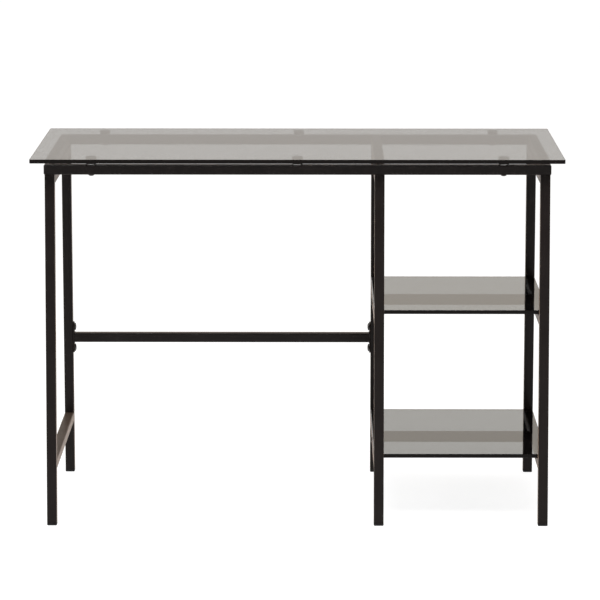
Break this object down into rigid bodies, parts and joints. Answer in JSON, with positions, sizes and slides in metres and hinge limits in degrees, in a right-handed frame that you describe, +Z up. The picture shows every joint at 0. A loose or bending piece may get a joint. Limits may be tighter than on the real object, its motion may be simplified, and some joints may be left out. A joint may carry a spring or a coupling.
{
  "type": "computer desk",
  "caption": "Computer desk with a smoked glass top on a black square-tube frame, raked front legs and two glass shelves at the right.",
  "frame": {"origin": "on the floor, under the middle of the desk's overall width and depth", "axes": "+X to the right of a person sitting at the desk, along the desktop's length; +Y from that person to the back of the desk; +Z up"},
  "size_m": [1.067, 0.516, 0.747],
  "materials": {
    "frame_paint": "satin black powder coat",
    "smoked_glass": "clear polished, smoke grey",
    "pad_plastic": "moulded black plastic",
    "foot_plastic": "moulded black plastic",
    "seat_rubber": "matt black rubber",
    "bolt_steel": "black oxide"
  },
  "bodies": {
    "root": {"front_left_glass_pad": "pad_plastic", "front_left_glass_pad_bolt": "bolt_steel", "front_middle_glass_pad": "pad_plastic", "front_rail": "frame_paint", "front_right_glass_pad": "pad_plastic", "front_right_glass_pad_bolt": "bolt_steel", "glass_top": "smoked_glass", "left_crossbar": "frame_paint", "left_front_foot_cap": "foot_plastic", "left_front_frame_bolt": "bolt_steel", "left_front_leg": "frame_paint", "left_rail": "frame_paint", "left_rear_foot_cap": "foot_plastic", "left_rear_frame_bolt": "bolt_steel", "left_rear_leg": "frame_paint", "left_top_bar": "frame_paint", "lower_shelf": "smoked_glass", "lower_shelf_left_strip": "seat_rubber", "lower_shelf_right_strip": "seat_rubber", "lower_shelf_support": "frame_paint", "lower_shelf_support_left_bolt": "bolt_steel", "lower_shelf_support_right_bolt": "bolt_steel", "middle_front_foot_cap": "foot_plastic", "middle_front_frame_bolt": "bolt_steel", "middle_front_leg": "frame_paint", "middle_lower_crossbar": "frame_paint", "middle_rail": "frame_paint", "middle_rear_foot_cap": "foot_plastic", "middle_rear_frame_bolt": "bolt_steel", "middle_rear_leg": "frame_paint", "middle_top_bar": "frame_paint", "middle_upper_crossbar": "frame_paint", "rear_left_glass_pad": "pad_plastic", "rear_left_glass_pad_bolt": "bolt_steel", "rear_middle_glass_pad": "pad_plastic", "rear_rail": "frame_paint", "rear_right_glass_pad": "pad_plastic", "rear_right_glass_pad_bolt": "bolt_steel", "rear_stretcher": "frame_paint", "right_front_foot_cap": "foot_plastic", "right_front_frame_bolt": "bolt_steel", "right_front_leg": "frame_paint", "right_lower_crossbar": "frame_paint", "right_rail": "frame_paint", "right_rear_foot_cap": "foot_plastic", "right_rear_frame_bolt": "bolt_steel", "right_rear_leg": "frame_paint", "right_top_bar": "frame_paint", "right_upper_crossbar": "frame_paint", "stretcher_left_lower_bolt": "bolt_steel", "stretcher_left_upper_bolt": "bolt_steel", "stretcher_right_lower_bolt": "bolt_steel", "stretcher_right_upper_bolt": "bolt_steel", "upper_shelf": "smoked_glass", "upper_shelf_left_strip": "seat_rubber", "upper_shelf_right_strip": "seat_rubber", "upper_shelf_support": "frame_paint", "upper_shelf_support_left_bolt": "bolt_steel", "upper_shelf_support_right_bolt": "bolt_steel"}
  },
  "joints": []
}
